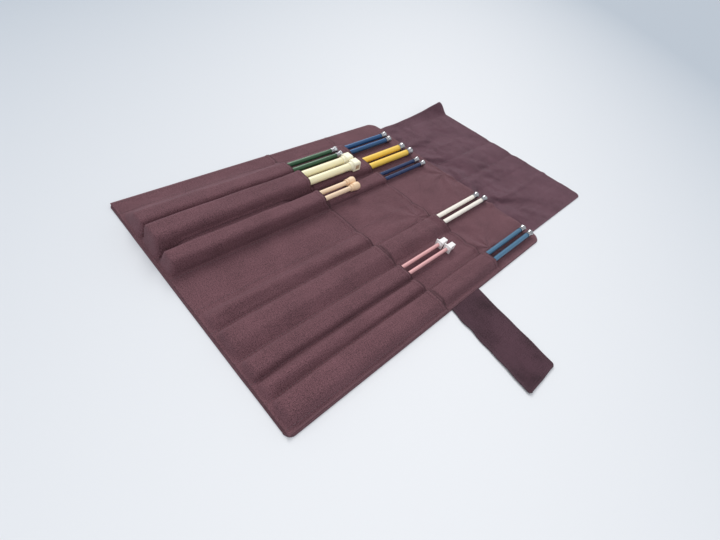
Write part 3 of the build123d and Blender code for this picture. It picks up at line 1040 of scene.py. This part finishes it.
def finish_needles(colours):
    """Gives every needle its own finish; their shapes are model.glb's own."""
    caps = cap_material("satin_cap_metal", colours.caps)
    white = plastic_material("white_moulded_plastic", (0.95, 0.93, 0.92))
    hollow = ((IVORY_HOLLOW_Y - ORIGIN_Y) / 1000.0, PAIRS["ivory"][1] / 1000.0)
    # brown painted as shade in the ivory heads' hollows
    hollow_shade = (0.42, 0.2, 0.09)
    ivory_head = plastic_material("ivory_head_plastic", (0.97, 0.91, 0.68), hollow_shade, hollow)
    wood_knob = wood_material("turned_birch", (0.95, 0.68, 0.44))
    finishes = {name: lacquer_material(f"{name}_lacquer", *look) for name, look in LACQUERS.items()}
    finishes["ivory"] = plastic_material("ivory_plastic", (0.97, 0.89, 0.58))
    finishes["tan"] = wood_material("pale_birch", (0.95, 0.71, 0.49))
    heads = {"ivory": ivory_head, "tan": wood_knob, "pink": white}
    for pair, finish in finishes.items():
        for number in (1, 2):
            dye(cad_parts[f"{pair}_shaft_{number}"], finish)
            dye(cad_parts[f"{pair}_head_{number}"], heads.get(pair, caps))


# --- stage

CAMERA_MM = (374.1, -69.7, 290.9)
CAMERA_RIGHT = (0.67436, 0.71801, 0.17233)
CAMERA_UP = (-0.61555, 0.41773, 0.66829)
CAMERA_BACK = (0.40785, -0.55674, 0.72367)
CAMERA_LENS = 20.05
FLOOR_HALF = 30
# lamp: (where it stands, spread in degrees, colour)
WINDOW_SUN = ((-1, 0.62, 1.15), 34, (1, 0.985, 0.965))
FRONT_SUN = ((0.9, -0.8, 1.6), 60, (0.95, 0.97, 1))


def stand(made, right, up, back, where):
    """Puts a lamp or camera at a spot, facing away from back."""
    rows = [[right[k], up[k], back[k], where[k]] for k in range(3)]
    made.matrix_world = Matrix(rows + [[0, 0, 0, 1]])


def add_sun(name, lamp, power):
    """A far lamp that shines from its spot towards the case."""
    where, spread, colour = lamp
    light = bpy.data.lights.new(name, "SUN")
    light.angle, light.energy, light.color = math.radians(spread), power, colour
    back = unit(np.array(where))
    side = unit(np.cross((0, 0, 1), back))
    stand(add_object(name, light), side, np.cross(back, side), back, where)


def make_stage(settings):
    """Floor, soft lamps, pale surroundings and the camera."""
    mesh = bpy.data.meshes.new("floor")
    corners = [(x * FLOOR_HALF, y * FLOOR_HALF, 0) for x, y in ((-1, -1), (1, -1), (1, 1), (-1, 1))]
    mesh.from_pydata(corners, [], [(0, 1, 2, 3)])
    floor = add_object("floor", mesh)
    dye(floor, floor_material("pale_floor", settings.floor, settings.far_floor_shade))
    world = bpy.data.worlds.new("soft_room")
    world.use_nodes = True
    ground = world.node_tree.nodes["Background"]
    ground.inputs["Color"].default_value = (0.93, 0.96, 1, 1)
    ground.inputs["Strength"].default_value = settings.ambient
    scene = bpy.context.scene
    scene.world = world
    add_sun("window_sun", WINDOW_SUN, settings.key)
    add_sun("front_sun", FRONT_SUN, settings.fill)
    lens = bpy.data.cameras.new("case_camera")
    lens.lens, lens.sensor_width, lens.clip_start = CAMERA_LENS, 36, 0.01
    scene.camera = add_object("case_camera", lens)
    stand(scene.camera, CAMERA_RIGHT, CAMERA_UP, CAMERA_BACK, place([CAMERA_MM])[0])
    scene.view_settings.view_transform = "Standard"


# --- add-on


def colour_property(label, description, default):
    return FloatVectorProperty(
        name=label, description=description, default=default,
        size=3, min=0.0, max=1.0, subtype="COLOR",
    )


def length_property(label, description, default, least):
    return FloatProperty(
        name=label, description=description, default=default, min=least, unit="LENGTH",
    )


def light_property(label, description, default):
    return FloatProperty(name=label, description=description, default=default, min=0.0)


class CaseColours(PropertyGroup):
    cloth: colour_property("Pocket Cloth", "Colour of lining and pockets", (0.139, 0.064, 0.076))
    cover: colour_property("Cover Cloth", "Colour of the outer cover", (0.118, 0.06, 0.073))
    flap: colour_property("Flap Cloth", "Colour of the flap", (0.112, 0.054, 0.071))
    strap: colour_property("Strap Cloth", "Colour of the strap", (0.061, 0.0292, 0.0395))
    thread: colour_property("Thread", "Colour of the sewing thread", (0.15, 0.083, 0.097))
    strap_thread: colour_property(
        "Strap Thread", "Colour of the strap's thread", (0.08, 0.041, 0.053),
    )
    caps: colour_property("Caps", "Colour of the metal caps", (0.56, 0.56, 0.58))


class StitchSizes(PropertyGroup):
    pitch: length_property("Pitch", "Distance from stitch to stitch", 0.0031, 0.001)
    length: length_property("Length", "Length of one stitch", 0.0023, 0.0005)
    thread: length_property("Thread", "Radius of the thread", 0.0003, 0.0001)


class StageSettings(PropertyGroup):
    floor: colour_property("Floor", "Colour of the floor", (0.82, 0.83, 0.85))
    # the floor's far colour is painted shade
    far_floor_shade: colour_property("Far Floor", "Colour of the floor's far side", (0.47, 0.52, 0.58))
    ambient: light_property("Ambient", "Strength of the room light", 0.62)
    key: light_property("Key", "Strength of the window light", 1.55)
    fill: light_property("Fill", "Strength of the front light", 0.6)


# the cloths' grids, kept for the stitches
GRIDS = {}


class CaseOperator:
    bl_options = {"REGISTER", "UNDO"}


class CASE_OT_body(CaseOperator, Operator):
    """Make the outer cover and the lining"""

    bl_idname = "needle_case.body"
    bl_label = "Cover and Lining"

    def execute(self, context):
        make_body_cloth(context.scene.case_colours)
        return {"FINISHED"}


class CASE_OT_pockets(CaseOperator, Operator):
    """Make the rear and front pocket panels"""

    bl_idname = "needle_case.pockets"
    bl_label = "Pocket Panels"

    def execute(self, context):
        GRIDS["rear"], GRIDS["front"] = make_pockets(False), make_pockets(True)
        return {"FINISHED"}


class CASE_OT_flap(CaseOperator, Operator):
    """Make the flap that covers the needle heads"""

    bl_idname = "needle_case.flap"
    bl_label = "Flap"

    def execute(self, context):
        GRIDS["flaps"] = make_flap(context.scene.case_colours)
        return {"FINISHED"}


class CASE_OT_strap(CaseOperator, Operator):
    """Make the closing strap"""

    bl_idname = "needle_case.strap"
    bl_label = "Strap"

    def execute(self, context):
        GRIDS["straps"] = make_strap(context.scene.case_colours)
        return {"FINISHED"}


class CASE_OT_stitches(CaseOperator, Operator):
    """Sew the seams and hems"""

    bl_idname = "needle_case.stitches"
    bl_label = "Stitches"

    def execute(self, context):
        make_stitches(GRIDS, context.scene.case_colours, context.scene.case_stitches)
        return {"FINISHED"}


class CASE_OT_needles(CaseOperator, Operator):
    """Finish the needles and their heads"""

    bl_idname = "needle_case.needles"
    bl_label = "Needles"

    def execute(self, context):
        finish_needles(context.scene.case_colours)
        return {"FINISHED"}


class CASE_OT_stage(CaseOperator, Operator):
    """Make the floor, lamps and camera"""

    bl_idname = "needle_case.stage"
    bl_label = "Stage"

    def execute(self, context):
        make_stage(context.scene.case_stage)
        return {"FINISHED"}


OPERATORS = (
    CASE_OT_stage, CASE_OT_body, CASE_OT_pockets, CASE_OT_flap, CASE_OT_strap,
    CASE_OT_stitches, CASE_OT_needles,
)


class CASE_PT_panel(Panel):
    bl_label = "Needle Case"
    bl_idname = "CASE_PT_panel"
    bl_space_type = "VIEW_3D"
    bl_region_type = "UI"
    bl_category = "Needle Case"

    def draw(self, context):
        for operator in OPERATORS:
            self.layout.operator(operator.bl_idname)


CLASSES = (CaseColours, StitchSizes, StageSettings) + OPERATORS + (CASE_PT_panel,)


def register():
    for kind in CLASSES:
        bpy.utils.register_class(kind)
    bpy.types.Scene.case_colours = PointerProperty(type=CaseColours)
    bpy.types.Scene.case_stitches = PointerProperty(type=StitchSizes)
    bpy.types.Scene.case_stage = PointerProperty(type=StageSettings)


def unregister():
    del bpy.types.Scene.case_stage
    del bpy.types.Scene.case_stitches
    del bpy.types.Scene.case_colours
    for kind in reversed(CLASSES):
        bpy.utils.unregister_class(kind)


def main():
    register()
    for operator in OPERATORS:
        name = operator.bl_idname.split(".")[1]
        getattr(bpy.ops.needle_case, name)()


if __name__ == "__main__":
    main()
